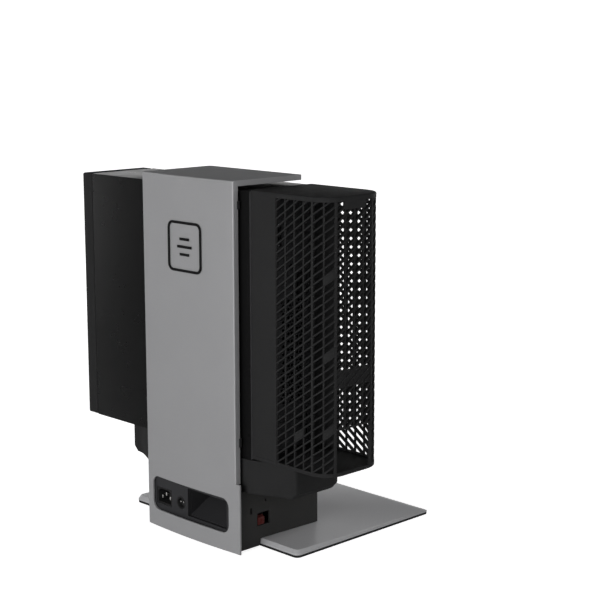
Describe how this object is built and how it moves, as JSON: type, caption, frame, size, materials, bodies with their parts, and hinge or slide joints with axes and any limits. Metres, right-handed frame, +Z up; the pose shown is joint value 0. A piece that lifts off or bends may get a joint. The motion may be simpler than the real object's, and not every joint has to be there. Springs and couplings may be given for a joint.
{
  "type": "desktop computer in a monitor stand",
  "caption": "Upright small desktop computer in an all-in-one monitor stand: silver rear cover and base plate, black cradle, slatted cable cover and a tilting monitor mount.",
  "frame": {"origin": "on the floor under the centre of the bounding box", "axes": "+Z up; the silver rear cover faces +Y and the monitor side -Y; the cable cover is on -X and the computer's front bezel on +X"},
  "size_m": [0.406, 0.2614, 0.411],
  "materials": {
    "silver_paint": "satin silver-grey paint",
    "base_silver": "satin silver-grey paint, darker",
    "black_plastic": "fine texture",
    "black_steel": "black powder coat",
    "dark_bezel": "satin",
    "badge_black": "satin black print",
    "red_plastic": "satin",
    "rubber": "matt",
    "bright_metal": "plated",
    "zinc_steel": "zinc plated sheet",
    "board_green": "solder mask",
    "fin_aluminium": "raw",
    "grey_plastic": "satin"
  },
  "bodies": {
    "stand": {"base_plate": "base_silver", "base_pad": "rubber", "lower_housing": "black_plastic", "cradle": "black_plastic", "inlet_bezel": "dark_bezel", "cable_channel": "dark_bezel", "power_inlet": "black_plastic", "inlet_pin_earth": "bright_metal", "inlet_pin_left": "bright_metal", "inlet_pin_right": "bright_metal", "aux_socket": "black_plastic", "aux_pin_left": "bright_metal", "aux_pin_right": "bright_metal", "riser": "black_steel", "riser_screw_left": "zinc_steel", "riser_screw_right": "zinc_steel", "riser_rail_left": "black_steel", "riser_rail_right": "black_steel", "riser_front": "black_steel", "riser_cap": "black_plastic"},
    "rear_cover": {"rear_cover": "silver_paint", "cover_badge": "badge_black", "cover_clip_upper": "black_plastic", "cover_clip_lower": "black_plastic"},
    "computer": {"chassis": "black_steel", "side_cover": "black_steel", "front_bezel": "black_plastic", "bezel_grille": "black_plastic", "front_ports": "black_plastic", "motherboard": "board_green", "io_panel": "black_steel", "cpu_heatsink": "fin_aluminium", "fan_shroud": "black_plastic", "foot_front_rear": "rubber", "foot_front_near": "rubber", "foot_back_rear": "rubber", "foot_back_near": "rubber", "slot_cover_lower": "black_steel", "slot_cover_upper": "black_steel", "memory_module_inner": "board_green", "memory_module_outer": "board_green", "drive_caddy": "zinc_steel", "hard_drive": "fin_aluminium", "power_supply": "zinc_steel", "psu_socket": "black_plastic", "optical_drive": "zinc_steel"},
    "power_button": {"power_button": "grey_plastic"},
    "cover_latch": {"cover_latch": "black_plastic"},
    "cpu_fan": {"cpu_fan": "black_plastic"},
    "psu_fan": {"psu_fan": "black_plastic"},
    "disc_tray": {"disc_tray": "black_plastic"},
    "eject_button": {"eject_button": "grey_plastic"},
    "cable_cover": {"cable_cover": "black_plastic"},
    "release_latch": {"release_latch": "red_plastic"},
    "height_carriage": {"height_carriage": "zinc_steel", "tilt_pin": "bright_metal"},
    "tilt_head": {"tilt_head": "zinc_steel"},
    "pivot_plate": {"pivot_plate": "black_steel"},
    "mount_button": {"mount_button": "grey_plastic"}
  },
  "joints": [
    {"name": "rear_cover_slide", "type": "slide", "parent": "stand", "child": "rear_cover", "axis": [0, 1, 0], "range_m": [0, 0.11]},
    {"name": "computer_slide", "type": "slide", "parent": "stand", "child": "computer", "axis": [1, 0, 0], "range_m": [0, 0.05]},
    {"name": "cable_cover_slide", "type": "slide", "parent": "computer", "child": "cable_cover", "axis": [-1, 0, 0], "range_m": [0, 0.12]},
    {"name": "release_latch_slide", "type": "slide", "parent": "stand", "child": "release_latch", "axis": [0, -1, 0], "range_m": [0, 0.008], "stiffness_N_per_m": 300},
    {"name": "monitor_height", "type": "slide", "parent": "stand", "child": "height_carriage", "axis": [0, 0, 1], "range_m": [-0.06, 0.045]},
    {"name": "monitor_tilt", "type": "hinge", "parent": "height_carriage", "child": "tilt_head", "pos_m": [0, -0.024, 0.325], "axis": [-1, 0, 0], "range_deg": [-5, 21]},
    {"name": "monitor_pivot", "type": "hinge", "parent": "tilt_head", "child": "pivot_plate", "pos_m": [0, -0.024, 0.325], "axis": [0, 1, 0], "range_deg": [-90, 90]},
    {"name": "mount_button_press", "type": "slide", "parent": "pivot_plate", "child": "mount_button", "axis": [0, 0, 1], "range_m": [0, 0.0028], "stiffness_N_per_m": 500},
    {"name": "power_button_press", "type": "slide", "parent": "computer", "child": "power_button", "axis": [-1, 0, 0], "range_m": [0, 0.0015], "stiffness_N_per_m": 600},
    {"name": "disc_tray_slide", "type": "slide", "parent": "computer", "child": "disc_tray", "axis": [1, 0, 0], "range_m": [0, 0.11]},
    {"name": "eject_button_press", "type": "slide", "parent": "disc_tray", "child": "eject_button", "axis": [-1, 0, 0], "range_m": [0, 0.0008], "stiffness_N_per_m": 400},
    {"name": "cover_latch_slide", "type": "slide", "parent": "computer", "child": "cover_latch", "axis": [0, 0, 1], "range_m": [0, 0.008], "stiffness_N_per_m": 300},
    {"name": "cpu_fan_spin", "type": "hinge", "parent": "computer", "child": "cpu_fan", "pos_m": [-0.02, 0.059, 0.245], "axis": [0, 1, 0], "continuous": true},
    {"name": "psu_fan_spin", "type": "hinge", "parent": "computer", "child": "psu_fan", "pos_m": [0.035, 0.08125, 0.359], "axis": [1, 0, 0], "continuous": true}
  ]
}
